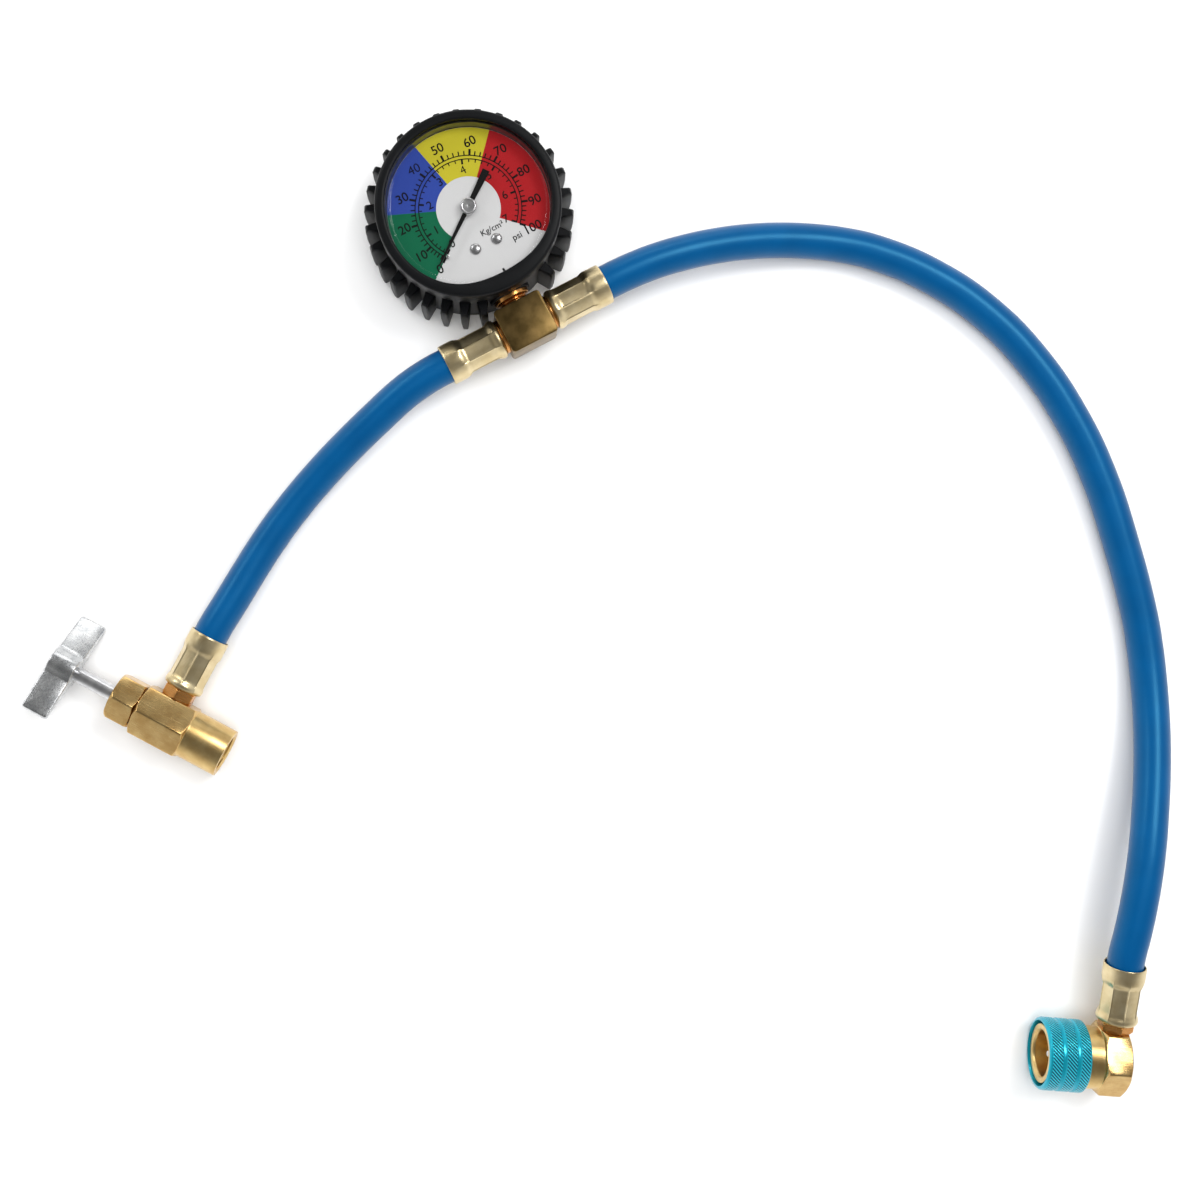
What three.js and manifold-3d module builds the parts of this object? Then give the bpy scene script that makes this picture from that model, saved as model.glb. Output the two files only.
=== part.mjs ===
// A refrigerant charging hose: can tap, short hose, tee with gauge, long hose, elbow with quick coupler.
// Millimetres, +Z up. The origin is the centre of the gauge's back, on the floor that the part lies on.
import * as THREE from "three";
import { mergeVertices } from "three/addons/utils/BufferGeometryUtils.js";
import Module from "manifold-3d";

const wasm = await Module();
wasm.setup();

// Clearances
const fit = 0.3; // between any two neighbouring pieces
const touch = 0.1; // under a small head or plate that is screwed down

// Gauge, its axis along +Z
const bootHeight = 35;
const bootWall = 1.4;
const bootBackThickness = 2.5;
const bootRingProud = 0.6; // the front ring beyond the wall
const bootRingDepth = 9;
const bootRingRound = 1.2;
const bootLipOverlap = 0.9; // the lip over the case's edge
const bootLipDepth = 1.2;
const finAngles = [
  -63.5, -51.5, -39.5, -27.5, -15.4, -3.3, 9.4, 21.7, 34.1, 45.4, 57.6, 69.8, 80.9, 93, 104.5, 116.5,
  127.8, 139, 150.2, 161.5, 172.8, 184.1, 195, 206, 217.1, 228.7, 240.1, 251.2,
]; // in the gauge's own turned frame, with the stem at -90
const finReach = 5.2; // beyond the wall
const finHeight = 19.5;
const finRootWidth = 4.2;
const finTipWidth = 2.8;
const caseRadius = 28.6;
const caseWall = 1;
const lensInset = 0.2; // its edge inside the case's
const lensThickness = 1.5;
const dialDepth = 5; // below the lens
const dialThickness = 0.5;
const dialClearance = 0.4; // to the case's wall
const gaugeTurn = 27.5; // degrees from +X to the tee's run
const plateRadius = 20;
const plateThickness = 2;
const socketWidth = 14;
const socketBack = 4;
const socketFront = 20;
const stemHeight = 17;
const stemRadius = 6.2;
const stemThreadRadius = 4.6;
const stemThreadLength = 3;
const pointerAngle = 216.5; // degrees, in the gauge's own turned frame
const pointerGap = 2.3; // dial to pointer
const pointerThickness = 0.6;
const pointerTipLength = 22;
const pointerTailLength = 13.5;
const pointerTailWidth = 2.5;
const pointerTipWidth = 0.5;
const pointerHubRadius = 3.4;
const capRadius = 2.8;
const capHeight = 1.2;
const shaftRadius = 0.6;
const shaftDepth = 7;
const screwAngles = [-107.6, -74.4];
const screwCircle = 13.7;
const screwHeadRadius = 1.9;
const screwHeadHeight = 1;
const screwShankRadius = 0.8;
const screwShankLength = 1.6;
const stopPinAngle = 220.2;
const stopPinCircle = 17.7;
const stopPinRadius = 0.45;

// Tee block, its run across the gauge's stem
const stemShown = 3.2; // from the boot's ring to the tee
const teeRun = 16.4;
const teeDepth = 14.8;
const teeThickness = 15.2;
const teeEdge = 0.6;
const teePassageRadius = 1.6;

// Ferrule and nipple, each along +X from the fitting to the hose
const ferruleLength = 20.6;
const ferruleBeadRadius = 7;
const ferruleBeadLength = 3.4;
const ferruleBarrelRadius = 6.5;
const ferruleBellRadius = 7;
const ferruleBellLength = 5.4;
const ferruleMouthDepth = 3.3;
const mouthClearance = 0.45;
const crimpFlats = 8;
const nippleTailRadius = 3.8;
const nippleShankRadius = 3.7;
const nippleShankLength = 3.2;
const hexCollarAcross = 10.3;
const tapCollarLength = 3.2;
const collarChamfer = 0.4;
const teeCollarRadius = 5.9;
const teeCollarLength = 0.85;
const elbowCollarLength = 2.4;

// Hoses
const hoseDiameter = 12;
const hoseSides = 12;
const hoseStep = 2 * hoseDiameter;

// Can tap, its axis along +X from the handle to the nose
const tapPlace = [-104.7, -171.7, 10.1];
const tapTurn = -28.2;
const tapHexAcross = 17.5;
const tapHexBack = 9.5;
const tapHexFront = 9.1;
const noseRadius = 8.5;
const noseLength = 14.7;
const noseRound = 0.6;
const noseBoreRadius = 6.35;
const noseBoreDepth = 12.8;
const gasketThickness = 2;
const gasketBoreRadius = 3.6;
const spindleRadius = 2.75;
const needleLength = 3.5;
const needleTipRadius = 0.3;
const needleRest = 9; // needle tip ahead of the port's axis
const glandAcross = 15.5;
const glandLength = 9.1;
const glandGap = 0.7;
const glandChamfer = 1.1;
const glandThreadRadius = 5.2;
const glandThreadLength = 4.5;
const handleGap = 15.1; // gland nut to handle
const handleWidth = 9.5;
const handleSpan = 38.5;
const handleThickness = 4.5;
const handleHubRadius = 5.8;
const handleRound = 0.8;
const handleRoll = -24;

// Elbow and coupler, its axis along +X from the elbow to the mouth
const elbowPlace = [219, -286.9, 12.8];
const elbowTurn = 175.6;
const elbowTilt = -12; // lifts the port's axis
const elbowHexAcross = 22;
const elbowHexBack = 3.8;
const elbowHexFront = 5.1;
const elbowChamfer = 0.9;
const neckRadius = 10.55;
const neckEnd = 13;
const coreRadius = 9.4;
const coreEnd = 23.9;
const coreMouthRadius = 7.5;
const coreBoreRadius = 6.75;
const coreBoreDepth = 12;
const sleeveRadius = 12.2;
const sleeveBack = 10.3;
const sleeveFront = 24.5;
const sleeveRound = 1;
const grooveDepth = 0.5;
const grooveWidth = 1;
const groovePlaces = [14.5, 19.4];
const pinRadius = 1.1;
const pinBack = 2;
const pinFront = 21.5;

const smooth = 28; // sides of a small round piece
const smoothLarge = 64; // sides of a large one

const radians = THREE.MathUtils.degToRad;
const alongX = new THREE.Matrix4().makeRotationZ(-Math.PI / 2);
const alongZ = new THREE.Matrix4().makeRotationX(Math.PI / 2);

// A closed geometry as a solid that can be joined and cut.
function solidFrom(geometry) {
  const bare = geometry.clone();
  bare.deleteAttribute("normal");
  bare.deleteAttribute("uv");
  const merged = mergeVertices(bare, 1e-4);
  return new wasm.Manifold(
    new wasm.Mesh({
      numProp: 3,
      vertProperties: merged.attributes.position.array,
      triVerts: new Uint32Array(merged.index.array),
    }),
  );
}

// A solid as a geometry again.
function geometryFrom(solid) {
  const { vertProperties, triVerts } = solid.getMesh();
  const geometry = new THREE.BufferGeometry();
  geometry.setAttribute("position", new THREE.BufferAttribute(vertProperties, 3));
  geometry.setIndex(new THREE.BufferAttribute(triVerts, 1));
  geometry.computeVertexNormals();
  return geometry;
}

// A turned solid: the outline's points are [radius, place along the axis], and it closes on itself.
function turned(outline, sides = smooth, along = alongX) {
  const points = [...outline, outline[0]].map(([r, a]) => new THREE.Vector2(r, a));
  if (THREE.ShapeUtils.area(points) < 0) points.reverse();
  return solidFrom(new THREE.LatheGeometry(points, sides).applyMatrix4(along));
}

// A round bar, or a hex one with sides 6, from one place on its axis to another.
function bar(radius, from, to, sides = smooth, along = alongX) {
  return turned([[0, from], [radius, from], [radius, to], [0, to]], sides, along);
}

// A hexagon bar whose corners are turned off at its ends.
function hexBar(across, from, to, chamferBack, chamferFront) {
  const corner = across / Math.sqrt(3);
  const flat = across / 2;
  const cone = turned([
    [0, from],
    [flat + 0.2, from],
    [corner + 0.1, from + chamferBack],
    [corner + 0.1, to - chamferFront],
    [flat + 0.2, to],
    [0, to],
  ]);
  return bar(corner, from, to, 6).intersect(cone);
}

// The same solid turned about +Z and moved.
function turnedTo(solid, degrees, place = [0, 0, 0]) {
  return solid.rotate([0, 0, degrees]).translate(place);
}

function piece(name, material, solid) {
  const mesh = new THREE.Mesh(geometryFrom(solid), material);
  mesh.name = name;
  return mesh;
}

function finish(color, roughness, metalness) {
  return new THREE.MeshStandardMaterial({ color, roughness, metalness });
}

const brass = finish(0xb99a54, 0.35, 1);
const copperBrass = finish(0xb8763f, 0.3, 1);
const zinc = finish(0x8f9295, 0.45, 0.9);
const steel = finish(0xb4b6b8, 0.3, 1);
const rubber = finish(0x1d1d1f, 0.6, 0);
const hoseBlue = finish(0x1c7fc0, 0.4, 0);
const dialPaint = finish(0xe9e9e4, 0.6, 0);
const pointerPaint = finish(0x101010, 0.5, 0);
const tealAnodised = finish(0x147c86, 0.35, 0.8);
const clear = new THREE.MeshStandardMaterial({
  color: 0xf4f8fa,
  roughness: 0.05,
  metalness: 0,
  transparent: true,
  opacity: 0.3,
});

// Gauge

const bootWallRadius = caseRadius + fit + bootWall;
const bootRingRadius = bootWallRadius + bootRingProud;
const bootLipRadius = caseRadius - bootLipOverlap;
const finTipRadius = bootWallRadius + finReach;
const lensRadius = caseRadius - lensInset;
const dialRadius = caseRadius - caseWall - dialClearance;
const teeDistance = bootRingRadius + stemShown + teeDepth / 2;
const caseBack = bootBackThickness + fit;
const lensTop = bootHeight - bootLipDepth - fit;
const lensBack = lensTop - lensThickness;
const caseFront = lensBack - fit;
const dialHeight = lensBack - dialDepth;
const dialBack = dialHeight - dialThickness;
const plateTop = dialBack - fit;
const teeFace = teeDistance - teeDepth / 2;

// The stem's place on the gauge's side: a round bar along -Y at the stem's height.
function stemBar(radius, from, to) {
  return turnedTo(bar(radius, from, to), -90, [0, 0, stemHeight]);
}

function gaugeBoot() {
  const ringStart = bootHeight - bootRingDepth;
  let boot = turned(
    [
      [0, 0],
      [bootWallRadius, 0],
      [bootWallRadius, ringStart - 1],
      [bootRingRadius, ringStart],
      [bootRingRadius, bootHeight - bootRingRound],
      [bootRingRadius - 0.35 * bootRingRound, bootHeight - 0.35 * bootRingRound],
      [bootRingRadius - bootRingRound, bootHeight],
      [bootLipRadius + 0.5, bootHeight],
      [bootLipRadius, bootHeight - 0.5],
      [bootLipRadius, bootHeight - bootLipDepth],
      [caseRadius + fit, bootHeight - bootLipDepth],
      [caseRadius + fit, bootBackThickness],
      [0, bootBackThickness],
    ],
    smoothLarge,
    alongZ,
  );
  const finRoot = bootWallRadius - 0.6;
  const outline = new THREE.Shape([
    new THREE.Vector2(finRoot, -finRootWidth / 2),
    new THREE.Vector2(finTipRadius - 0.6, -finTipWidth / 2),
    new THREE.Vector2(finTipRadius, -finTipWidth / 4),
    new THREE.Vector2(finTipRadius, finTipWidth / 4),
    new THREE.Vector2(finTipRadius - 0.6, finTipWidth / 2),
    new THREE.Vector2(finRoot, finRootWidth / 2),
  ]);
  const fin = solidFrom(new THREE.ExtrudeGeometry(outline, { depth: finHeight, bevelEnabled: false }));
  for (const angle of finAngles) boot = boot.add(turnedTo(fin, angle));
  return boot.subtract(stemBar(stemRadius + fit, caseRadius - 2, bootRingRadius + 2));
}

function gaugeCase() {
  const inner = caseRadius - caseWall;
  const cup = turned(
    [
      [0, caseBack],
      [caseRadius - 1, caseBack],
      [caseRadius, caseBack + 1],
      [caseRadius, caseFront],
      [inner, caseFront],
      [inner, caseBack + caseWall],
      [0, caseBack + caseWall],
    ],
    smoothLarge,
    alongZ,
  );
  return cup.subtract(stemBar(stemRadius + fit, inner - 2, caseRadius + 2));
}

function gaugeSocket() {
  const blockBottom = stemHeight - stemRadius;
  const block = solidFrom(
    new THREE.BoxGeometry(socketWidth, socketBack + socketFront, plateTop - blockBottom).translate(
      0,
      (socketBack - socketFront) / 2,
      (plateTop + blockBottom) / 2,
    ),
  );
  const plate = bar(plateRadius, plateTop - plateThickness, plateTop, smooth, alongZ);
  const stem = stemBar(stemRadius, 0, bootRingRadius + fit)
    .add(stemBar(stemThreadRadius, bootRingRadius, teeFace + stemThreadLength))
    .subtract(stemBar(teePassageRadius, socketFront, teeFace + stemThreadLength + 1));
  let socket = block.add(plate).add(stem);
  const hole = (radius, depth) => bar(radius, plateTop - depth, plateTop + 1, 12, alongZ);
  socket = socket.subtract(hole(shaftRadius + fit, shaftDepth));
  for (const angle of screwAngles)
    socket = socket.subtract(
      turnedTo(hole(screwShankRadius + fit, screwShankLength).translate([screwCircle, 0, 0]), angle),
    );
  return socket.subtract(
    turnedTo(
      hole(stopPinRadius + fit, plateThickness / 2).translate([stopPinCircle, 0, 0]),
      stopPinAngle,
    ),
  );
}

function gaugeDial() {
  const hole = (radius) => bar(radius, dialBack - 1, dialHeight + 1, 12, alongZ);
  let dial = bar(dialRadius, dialBack, dialHeight, smoothLarge, alongZ);
  dial = dial.subtract(hole(shaftRadius + fit));
  for (const angle of screwAngles)
    dial = dial.subtract(turnedTo(hole(screwShankRadius + fit).translate([screwCircle, 0, 0]), angle));
  return dial.subtract(
    turnedTo(hole(stopPinRadius + fit).translate([stopPinCircle, 0, 0]), stopPinAngle),
  );
}

function dialScrew(angle) {
  const under = dialHeight + touch;
  const dome = [0, 30, 60, 90].map((a) => [
    screwHeadRadius * Math.cos(radians(a)),
    under + 0.2 + (screwHeadHeight - 0.2) * Math.sin(radians(a)),
  ]);
  dome[3][0] = 0;
  const screw = turned(
    [
      [0, plateTop - screwShankLength + fit],
      [screwShankRadius, plateTop - screwShankLength + fit],
      [screwShankRadius, under],
      [screwHeadRadius, under],
      ...dome,
    ],
    16,
    alongZ,
  );
  return turnedTo(screw.translate([screwCircle, 0, 0]), angle);
}

const pointerBack = dialHeight + pointerGap;
const pointerFront = pointerBack + pointerThickness;

function stopPin() {
  const pin = bar(stopPinRadius, plateTop - plateThickness / 2 + fit, pointerFront, 12, alongZ);
  return turnedTo(pin.translate([stopPinCircle, 0, 0]), stopPinAngle);
}

function pointer() {
  const outline = new THREE.Shape([
    new THREE.Vector2(-pointerTailLength, -pointerTailWidth / 2),
    new THREE.Vector2(0, -pointerTailWidth / 3),
    new THREE.Vector2(pointerTipLength, -pointerTipWidth / 2),
    new THREE.Vector2(pointerTipLength, pointerTipWidth / 2),
    new THREE.Vector2(0, pointerTailWidth / 3),
    new THREE.Vector2(-pointerTailLength, pointerTailWidth / 2),
  ]);
  const options = { depth: pointerThickness, bevelEnabled: false };
  const plate = solidFrom(new THREE.ExtrudeGeometry(outline, options)).translate([0, 0, pointerBack]);
  const hub = bar(pointerHubRadius, pointerBack, pointerFront, 24, alongZ);
  const hole = bar(shaftRadius + fit, pointerBack - 1, pointerFront + 1, 12, alongZ);
  return turnedTo(plate.add(hub).subtract(hole), pointerAngle);
}

function pointerCap() {
  const under = pointerFront + touch;
  return turned(
    [
      [0, plateTop - shaftDepth + fit],
      [shaftRadius, plateTop - shaftDepth + fit],
      [shaftRadius, under],
      [capRadius, under],
      [capRadius, under + 0.6 * capHeight],
      [0.7 * capRadius, under + capHeight],
      [0, under + capHeight],
    ],
    24,
    alongZ,
  );
}

function gaugeLens() {
  return bar(lensRadius, lensBack, lensTop, smoothLarge, alongZ);
}

const shankClear = fit + nippleShankLength + fit; // depth of the port that a nipple's shank goes into

function teeBlock() {
  const w = teeRun / 2 - teeEdge;
  const d = teeDepth / 2 - teeEdge;
  const outline = new THREE.Shape([
    new THREE.Vector2(-w, -d),
    new THREE.Vector2(w, -d),
    new THREE.Vector2(w, d),
    new THREE.Vector2(-w, d),
  ]);
  const block = solidFrom(
    new THREE.ExtrudeGeometry(outline, {
      depth: teeThickness - 2 * teeEdge,
      bevelThickness: teeEdge,
      bevelSize: teeEdge,
      bevelSegments: 1,
    }).translate(0, -teeDistance, stemHeight - teeThickness / 2 + teeEdge),
  );
  const run = (radius, from, to) => bar(radius, from, to).translate([0, -teeDistance, stemHeight]);
  const half = teeRun / 2;
  return block
    .subtract(run(teePassageRadius, -half - 1, half + 1))
    .subtract(run(nippleShankRadius + fit, half - shankClear, half + 1))
    .subtract(run(nippleShankRadius + fit, -half - 1, shankClear - half))
    .subtract(stemBar(teePassageRadius, teeFace - 1, teeDistance))
    .subtract(stemBar(stemThreadRadius + fit, teeFace - 1, teeFace + stemThreadLength + fit));
}

// Ferrule and nipple: place 0 is the ferrule's end at the fitting.

function ferrule() {
  const bead = ferruleBeadRadius;
  const bellStart = ferruleLength - ferruleBellLength;
  const flat = ferruleBarrelRadius * Math.cos(Math.PI / crimpFlats);
  const ends = turned(
    [
      [0, 0],
      [bead - 1, 0],
      [bead, 1],
      [bead, ferruleBeadLength - 1],
      [flat, ferruleBeadLength],
      [flat, bellStart],
      [ferruleBellRadius, ferruleLength - ferruleMouthDepth - 0.2],
      [ferruleBellRadius, ferruleLength],
      [0, ferruleLength],
    ],
    24,
  );
  const barrel = bar(ferruleBarrelRadius, ferruleBeadLength - 1, bellStart + 1, crimpFlats);
  const mouth = hoseDiameter / 2 + mouthClearance;
  return ends
    .add(barrel)
    .subtract(bar(nippleTailRadius + fit, -1, ferruleLength, 24))
    .subtract(bar(mouth, ferruleLength - ferruleMouthDepth, ferruleLength + 1, 24));
}

function nipple(collar, collarLength) {
  const tailEnd = ferruleLength - ferruleMouthDepth - fit;
  const back = -fit - collarLength;
  return collar
    .add(bar(nippleTailRadius, -fit - 0.1, tailEnd, 24))
    .add(bar(nippleShankRadius, back - fit - nippleShankLength, back + 0.1, 24))
    .subtract(bar(teePassageRadius, back - fit - nippleShankLength - 1, tailEnd + 1, 12));
}

function hexNipple(collarLength) {
  const collar = hexBar(hexCollarAcross, -fit - collarLength, -fit, collarChamfer, collarChamfer);
  return nipple(collar, collarLength);
}

function roundNipple(collarLength) {
  return nipple(bar(teeCollarRadius, -fit - collarLength, -fit, 24), collarLength);
}

// How far a ferrule's end lies from the face of the fitting that its nipple's collar rests on.
const tapFerruleGap = tapCollarLength + 2 * fit;
const teeFerruleGap = teeCollarLength + 2 * fit;
const elbowFerruleGap = elbowCollarLength + 2 * fit;

// Hoses: the routes' points were chosen along the hose as it lies, from the tee outwards.

const hoseShortRoute = [
  [-5.4, -49.6, 17],
  [-8.1, -51, 17],
  [-11, -52.5, 17],
  [-15.6, -55.2, 16.7],
  [-21.4, -59.2, 15.9],
  [-31.9, -68.3, 13.6],
  [-42.2, -77.8, 10.8],
  [-51.9, -87.6, 8.1],
  [-60.9, -98, 6.6],
  [-69, -109, 6.5],
  [-76, -120.2, 7.5],
  [-82.2, -130.8, 9],
  [-87.4, -139.5, 10.1],
  [-88.8, -142.1, 10.1],
  [-90.2, -144.7, 10.1],
];

const hoseLongRoute = [
  [43.8, -24, 17],
  [46.4, -22.6, 17],
  [49.3, -21.1, 17],
  [53.9, -18.9, 16.8],
  [62.8, -15.2, 16.2],
  [73.4, -11.8, 14.9],
  [84.3, -9.1, 13],
  [95.5, -7.2, 10.9],
  [106.9, -6.2, 8.8],
  [118.2, -6.2, 7.1],
  [129.4, -7.3, 6.2],
  [140.3, -9.8, 6.1],
  [160.7, -18.4, 6.1],
  [179.2, -31, 6.1],
  [194.9, -47.2, 6.1],
  [208, -66.6, 6.1],
  [217.9, -87.4, 6.1],
  [225.2, -109.6, 6.1],
  [231.8, -135.2, 6.15],
  [233.6, -147, 6.6],
  [234.4, -158.6, 7.8],
  [234.4, -169.6, 9.8],
  [233.7, -180.4, 12.4],
  [232.4, -191.1, 15.3],
  [230.7, -201.6, 18.2],
  [228.9, -212.1, 20.7],
  [227, -222.6, 22.2],
  [225, -233.2, 22.6],
  [223.2, -242.8, 21.9],
  [221.85, -250.2, 20.65],
  [221.6, -253.15, 20],
  [221.35, -256.1, 19.4],
];

function hose(route) {
  const curve = new THREE.CatmullRomCurve3(
    route.map((p) => new THREE.Vector3(...p)),
    false,
    "centripetal",
  );
  const section = new THREE.Shape();
  for (let i = 0; i < hoseSides; i++) {
    const angle = (2 * Math.PI * i) / hoseSides;
    section[i ? "lineTo" : "moveTo"](
      (hoseDiameter / 2) * Math.cos(angle),
      (hoseDiameter / 2) * Math.sin(angle),
    );
  }
  return solidFrom(
    new THREE.ExtrudeGeometry(section, {
      steps: Math.ceil(curve.getLength() / hoseStep),
      extrudePath: curve,
      bevelEnabled: false,
    }),
  );
}

// Can tap: place 0 on its axis is the side port's axis.

const noseEnd = tapHexFront + noseLength;
const noseBoreFloor = noseEnd - noseBoreDepth;
const glandFront = -tapHexBack - glandGap;
const glandBack = glandFront - glandLength;
const handleFront = glandBack - handleGap;
const handleMiddle = handleFront - handleWidth / 2;

function tapBody() {
  const nose = turned([
    [0, tapHexFront - 1],
    [noseRadius, tapHexFront - 1],
    [noseRadius, noseEnd - noseRound],
    [noseRadius - noseRound, noseEnd],
    [0, noseEnd],
  ]);
  const port = (radius, depth) =>
    turnedTo(bar(radius, tapHexAcross / 2 - depth, tapHexAcross / 2 + 1), 90);
  return hexBar(tapHexAcross, -tapHexBack, tapHexFront, 0.8, 0.8)
    .add(nose)
    .subtract(bar(noseBoreRadius, noseBoreFloor, noseEnd + 1))
    .subtract(bar(spindleRadius + fit, -tapHexBack - 1, noseBoreFloor + 1))
    .subtract(bar(glandThreadRadius + fit, -tapHexBack - 1, glandFront + glandThreadLength + fit))
    .subtract(port(nippleShankRadius + fit, shankClear))
    .subtract(port(teePassageRadius, tapHexAcross / 2));
}

function tapGasket() {
  const back = noseBoreFloor + touch;
  const outer = noseBoreRadius - fit;
  const front = back + gasketThickness;
  return turned([[gasketBoreRadius, back], [outer, back], [outer, front], [gasketBoreRadius, front]]);
}

function tapGlandNut() {
  return hexBar(glandAcross, glandBack, glandFront, glandChamfer, 0.4)
    .add(bar(glandThreadRadius, glandFront - 0.1, glandFront + glandThreadLength))
    .subtract(bar(spindleRadius + fit, glandBack - 1, glandFront + glandThreadLength + 1));
}

function tapSpindle() {
  return turned([
    [0, handleFront - handleWidth],
    [spindleRadius - 0.4, handleFront - handleWidth],
    [spindleRadius, handleFront - handleWidth + 0.4],
    [spindleRadius, needleRest - needleLength],
    [needleTipRadius, needleRest],
    [0, needleRest],
  ]);
}

// The handle's outline across its axis: two flat wings with round tips, and a round hub.
function tapHandle() {
  const half = handleThickness / 2 - handleRound;
  const reach = handleSpan / 2 - handleRound - half;
  const hub = handleHubRadius - handleRound;
  const meet = Math.asin(half / hub);
  const outline = new THREE.Shape();
  outline.absarc(reach, 0, half, -Math.PI / 2, Math.PI / 2, false);
  outline.absarc(0, 0, hub, meet, Math.PI - meet, false);
  outline.absarc(-reach, 0, half, Math.PI / 2, 1.5 * Math.PI, false);
  outline.absarc(0, 0, hub, Math.PI + meet, 2 * Math.PI - meet, false);
  const shape = new THREE.ExtrudeGeometry(outline, {
    depth: handleWidth - 2 * handleRound,
    bevelThickness: handleRound,
    bevelSize: handleRound,
    bevelSegments: 2,
    curveSegments: 8,
  });
  // From the outline's own plane to the one across +X: its length along Y.
  shape.applyMatrix4(
    new THREE.Matrix4().makeBasis(
      new THREE.Vector3(0, 1, 0),
      new THREE.Vector3(0, 0, 1),
      new THREE.Vector3(1, 0, 0),
    ),
  );
  shape.translate(handleMiddle - handleWidth / 2 + handleRound, 0, 0);
  return solidFrom(shape)
    .subtract(bar(spindleRadius + fit, handleMiddle - handleWidth, handleMiddle + handleWidth))
    .rotate([handleRoll, 0, 0]);
}

// Elbow and coupler: place 0 on its axis is the port's axis.

function elbowBody() {
  const neck = bar(neckRadius, elbowHexFront - 1, neckEnd, smooth);
  const core = turned([
    [0, neckEnd - 1],
    [coreRadius, neckEnd - 1],
    [coreRadius, coreEnd - 0.3],
    [coreRadius - 0.3, coreEnd],
    [coreMouthRadius, coreEnd],
    [coreBoreRadius, coreEnd - 1],
    [coreBoreRadius, coreBoreDepth],
    [0, coreBoreDepth],
  ]);
  const port = (radius, depth) =>
    turnedTo(bar(radius, elbowHexAcross / 2 - depth, elbowHexAcross / 2 + 1), -90);
  return hexBar(elbowHexAcross, -elbowHexBack, elbowHexFront, elbowChamfer, elbowChamfer)
    .add(neck)
    .add(core)
    .subtract(bar(coreBoreRadius, coreBoreDepth, neckEnd + 1))
    .subtract(bar(pinRadius + fit, pinBack - fit, coreBoreDepth + 1, 16))
    .subtract(port(nippleShankRadius + fit, shankClear))
    .subtract(port(teePassageRadius, elbowHexAcross / 2 - 1));
}

function couplerSleeve() {
  const inner = neckRadius + fit + 0.05;
  let sleeve = turned(
    [
      [inner, sleeveBack],
      [sleeveRadius - 0.3, sleeveBack],
      [sleeveRadius, sleeveBack + 0.3],
      [sleeveRadius, sleeveFront - sleeveRound],
      [sleeveRadius - sleeveRound, sleeveFront],
      [inner, sleeveFront],
    ],
    36,
  );
  for (const place of groovePlaces) {
    const from = place - grooveWidth / 2;
    const to = place + grooveWidth / 2;
    const low = sleeveRadius - grooveDepth;
    const high = sleeveRadius + 1;
    sleeve = sleeve.subtract(turned([[low, from], [high, from], [high, to], [low, to]], 36));
  }
  return sleeve;
}

function depressorPin() {
  return turned(
    [
      [0, pinBack],
      [pinRadius, pinBack],
      [pinRadius, pinFront - 0.4],
      [pinRadius - 0.4, pinFront],
      [0, pinFront],
    ],
    16,
  );
}

// A ferrule and its nipple, from a fitting's face outwards along +X.
function hoseEnd(names, nippleSolid, faceDistance, gap) {
  const end = new THREE.Group();
  end.add(piece(names.ferrule, brass, ferrule()));
  end.add(piece(names.nipple, copperBrass, nippleSolid));
  end.position.x = faceDistance + gap;
  const turn = new THREE.Group();
  turn.add(end);
  return turn;
}

const gauge = new THREE.Group();
gauge.add(piece("gauge_boot", rubber, gaugeBoot()));
gauge.add(piece("gauge_case", steel, gaugeCase()));
gauge.add(piece("gauge_socket", brass, gaugeSocket()));
gauge.add(piece("gauge_dial", dialPaint, gaugeDial()));
screwAngles.forEach((angle, i) => gauge.add(piece(`dial_screw_${i + 1}`, steel, dialScrew(angle))));
gauge.add(piece("dial_stop_pin", steel, stopPin()));
gauge.add(piece("gauge_pointer", pointerPaint, pointer()));
gauge.add(piece("pointer_cap", steel, pointerCap()));
gauge.add(piece("gauge_lens", clear, gaugeLens()));
gauge.add(piece("tee_block", brass, teeBlock()));
for (const [side, turn] of [["left", Math.PI], ["right", 0]]) {
  const names = { ferrule: `tee_ferrule_${side}`, nipple: `tee_nipple_${side}` };
  const end = hoseEnd(names, roundNipple(teeCollarLength), teeRun / 2, teeFerruleGap);
  end.rotation.z = turn;
  end.position.set(0, -teeDistance, stemHeight);
  gauge.add(end);
}
gauge.rotation.z = radians(gaugeTurn);

const tap = new THREE.Group();
tap.add(piece("tap_handle", zinc, tapHandle()));
tap.add(piece("tap_spindle", steel, tapSpindle()));
tap.add(piece("tap_gland_nut", brass, tapGlandNut()));
tap.add(piece("tap_body", brass, tapBody()));
tap.add(piece("tap_gasket", rubber, tapGasket()));
const tapEnd = hoseEnd(
  { ferrule: "tap_ferrule", nipple: "tap_nipple" },
  hexNipple(tapCollarLength),
  tapHexAcross / 2,
  tapFerruleGap,
);
tapEnd.rotation.z = Math.PI / 2;
tap.add(tapEnd);
tap.position.set(...tapPlace);
tap.rotation.z = radians(tapTurn);

const elbowTilted = new THREE.Group();
elbowTilted.add(piece("elbow_body", brass, elbowBody()));
elbowTilted.add(piece("coupler_sleeve", tealAnodised, couplerSleeve()));
elbowTilted.add(piece("depressor_pin", steel, depressorPin()));
const elbowEnd = hoseEnd(
  { ferrule: "elbow_ferrule", nipple: "elbow_nipple" },
  hexNipple(elbowCollarLength),
  elbowHexAcross / 2,
  elbowFerruleGap,
);
elbowEnd.rotation.z = -Math.PI / 2;
elbowTilted.add(elbowEnd);
elbowTilted.rotation.x = radians(elbowTilt);
const elbow = new THREE.Group();
elbow.add(elbowTilted);
elbow.position.set(...elbowPlace);
elbow.rotation.z = radians(elbowTurn);

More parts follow.
